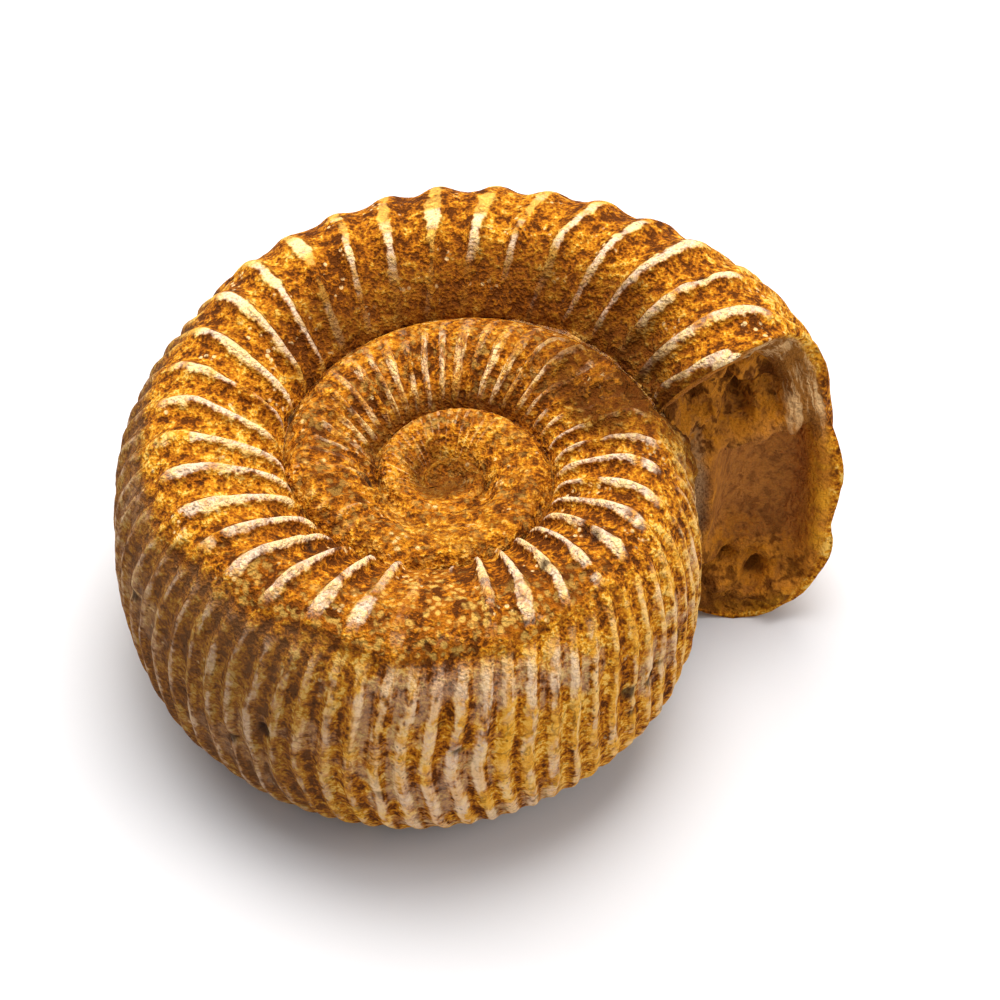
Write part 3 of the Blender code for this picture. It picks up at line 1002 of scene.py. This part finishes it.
def end_colour(net, at):
    """The broken end: smooth dull hollow, paler rim, streaked outer band and dark rubble, with painted
    shade in its pits and on its lower part, which tucks under.
    """
    inner, passed, mottle, fine = at.inner, at.passed, at.mottle, at.fine
    brown = net.mix_colour(net.smooth(0.38, 0.62, mottle), DULL_BROWN, BROWN_ORANGE)
    hollow = net.band(0.18, 0.76, 0.05, inner) * net.band(0.93, 1.24, 0.03, passed)
    dull = net.mix_colour(net.smooth(0.4, 0.6, fine), HOLLOW_DARK, HOLLOW_PALE)
    brown = net.mix_colour(hollow * 0.9, brown, dull)
    rim = (1.0 - net.smooth(0.1, 0.2, inner)) * net.smooth(0.93, 1.0, passed)
    rim_colour = net.mix_colour(net.smooth(0.4, 0.6, mottle), BROWN_ORANGE, GOLDEN)
    brown = net.mix_colour(rim * 0.8, brown, rim_colour)
    layers = net.join_parts(inner * 20.0 + mottle * 3.0, passed * 7.0, 1.0)
    streak = net.smooth(0.46, 0.6, net.noise(layers, 1.0, 3.0, 0.65))
    streaked = net.mix_colour(streak, LAYER_DARK, LAYER_PALE)
    brown = net.mix_colour(end_outer_band(net, inner, passed) * 0.85, brown, streaked)
    strip = net.smooth(0.8, 0.88, inner) * net.band(0.85, 1.35, 0.1, passed)
    brown = net.mix_colour(strip * 0.7, brown, SEAM_GREY)
    rubble = net.band(0.42, 0.93, 0.03, passed) * net.smooth(0.22, 0.34, inner)
    rubble = net.math("MAXIMUM", rubble, net.band(1.23, 1.75, 0.03, passed) * 0.85)
    clods = at.clods + (fine - 0.5) * 0.25
    brown = net.mix_colour(rubble * net.smooth(0.5, 0.62, clods) * 0.7, brown, OCHRE)
    brown = net.mix_colour(rubble * net.smooth(0.5, 0.4, clods) * 0.8, brown, DEEP_RUST_AND_SHADE)
    # Painted shade in the pits of the broken face.
    for place, side_place, _ in END_PITS:
        spot = net.bell(inner, place, 0.065) * net.bell(passed, side_place, 0.045)
        shade = net.smooth(0.3, 0.8, spot + (mottle - 0.5) * 0.6)
        brown = net.mix_colour(shade * 0.8, brown, DEEP_RUST_AND_SHADE)
    # Painted shade on the lower part of the broken face, which tucks under.
    under = net.smooth(1.42, 1.62, passed) * (0.35 + 0.3 * net.smooth(0.4, 0.6, mottle))
    brown = net.mix_colour(under, brown, DEEP_RUST_AND_SHADE)
    return net.mix_colour(net.smooth(0.46, 0.36, fine) * 0.3, brown, DEEP_RUST_AND_SHADE)


def pitted(net, at, shell, colour):
    """Painted shade in thin crannies and on the floors of the pits, and dark specks."""
    # Thin dark lines of painted shade, standing for crannies.
    cranny_line = net.math("ABSOLUTE", net.noise(at.here, 430.0, 2.0, 0.6) - 0.5)
    cranny_shade = 1.0 - net.smooth(0.0, 0.035, cranny_line)
    cranny_shade = cranny_shade * net.smooth(0.46, 0.56, at.patch * 0.5 + at.mottle * 0.5)
    cranny_shade = cranny_shade * (1.0 - 0.8 * at.broken_face) * (1.0 - 0.8 * shell)
    colour = net.mix_colour(cranny_shade * 0.5, colour, DEEP_RUST_AND_SHADE)
    speck = 1.0 - net.smooth(0.14, 0.34, net.cells(at.here, 1900.0))
    speck = speck * net.smooth(0.5, 0.58, net.noise(at.here, 420.0, 2.0, 0.6))
    # Dark specks, and painted shade on the floors of the pits.
    speck_and_pit_shade = net.math("MAXIMUM", speck * 0.55, net.smooth(0.3, 0.85, at.pit) * 0.85)
    return net.mix_colour(speck_and_pit_shade * (1.0 - 0.7 * at.broken_face), colour, NEAR_BLACK)


def stone_material():
    """Ochre limestone with pale shell on the rib crests, dark grooves, grit, crust and pits."""
    stone = bpy.data.materials.new("ochre_limestone")
    stone.use_nodes = True
    net = Net(stone.node_tree)
    shader = stone.node_tree.nodes["Principled BSDF"]
    shader.inputs["Specular IOR Level"].default_value = 0.06
    at = StonePoint(net)
    colour, crest, shell = crested(net, at, ochre_ground(net, at))
    colour, grey = grey_patches(net, at, crest, colour)
    colour = darkened(net, at, granular(net, at, colour))
    colour = net.mix_colour(at.broken_face, colour, end_colour(net, at))
    net.feed(shader.inputs["Base Color"], pitted(net, at, shell, colour))
    net.feed(shader.inputs["Roughness"], 0.85 - shell * 0.2 - grey * 0.1)
    height = (at.mottle - 0.5) * 0.8 + (at.fine - 0.5) * 0.8 + (at.grit - 0.5) * 0.35
    values = {"Strength": 0.9, "Distance": 0.0009, "Height": height}
    net.feed(shader.inputs["Normal"], net.node("ShaderNodeBump", {}, values))
    return stone


# --- Floor, lights and camera ---
def plain_material(name, colour, roughness):
    material = bpy.data.materials.new(name)
    material.use_nodes = True
    shader = material.node_tree.nodes["Principled BSDF"]
    shader.inputs["Base Color"].default_value = (*colour, 1.0)
    shader.inputs["Roughness"].default_value = roughness
    return material


def build_floor():
    far = 3.0
    corners = [(-far, -far, 0), (far, -far, 0), (far, far, 0), (-far, far, 0)]
    mesh = bpy.data.meshes.new("floor")
    mesh.from_pydata(corners, [], [(0, 1, 2, 3)])
    mesh.materials.append(plain_material("pale_floor", (0.64, 0.64, 0.66), 0.9))
    floor = bpy.data.objects.new("floor", mesh)
    bpy.context.scene.collection.objects.link(floor)


WARM_WHITE = (1.0, 0.97, 0.92)
COOL_WHITE = (0.98, 0.98, 1.0)
ROOM_LIGHT = 0.56
LAMPS = (
    ("key", (0.04, 0.15, 0.5), 0.4, 2.8, WARM_WHITE),
    ("back", (-0.31, 0.28, 0.42), 0.36, 1.4, WARM_WHITE),
    ("overhead", (-0.02, 0.0, 0.7), 0.4, 1.6, COOL_WHITE),
    ("side", (0.45, -0.14, 0.34), 0.3, 0.7, WARM_WHITE),
)


def add_lamp(name, place, size, power, colour):
    lamp = bpy.data.lights.new(name, "AREA")
    lamp.shape = "DISK"
    lamp.size = size
    lamp.energy = power
    lamp.color = colour
    holder = bpy.data.objects.new(name, lamp)
    holder.location = place
    holder.rotation_euler = (-Vector(place)).to_track_quat("-Z", "Y").to_euler()
    bpy.context.scene.collection.objects.link(holder)


def build_lights():
    world = bpy.data.worlds.new("studio")
    world.use_nodes = True
    world.node_tree.nodes["Background"].inputs["Color"].default_value = (1.0, 1.0, 1.0, 1.0)
    world.node_tree.nodes["Background"].inputs["Strength"].default_value = ROOM_LIGHT
    bpy.context.scene.world = world
    bpy.context.scene.view_settings.view_transform = "Standard"
    for lamp in LAMPS:
        add_lamp(*lamp)


def build_camera():
    data = bpy.data.cameras.new("camera")
    data.lens = 149.363
    data.sensor_width = 36.0
    data.clip_start = 0.01
    camera = bpy.data.objects.new("camera", data)
    camera.location = (-0.02344835, -0.23764488, 0.27144508)
    turns = (42.93138728, -3.89580851, -1.81523064)
    camera.rotation_euler = [math.radians(turn) for turn in turns]
    bpy.context.scene.collection.objects.link(camera)
    bpy.context.scene.camera = camera


build_camera()
build_lights()
build_floor()
stone = stone_material()
fossil = made_by(coil_tree(), "ammonite_stone", {**SIZES, "Stone": stone})
fossil.data.shade_smooth()
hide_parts("ammonite")
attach(fossil, "root")
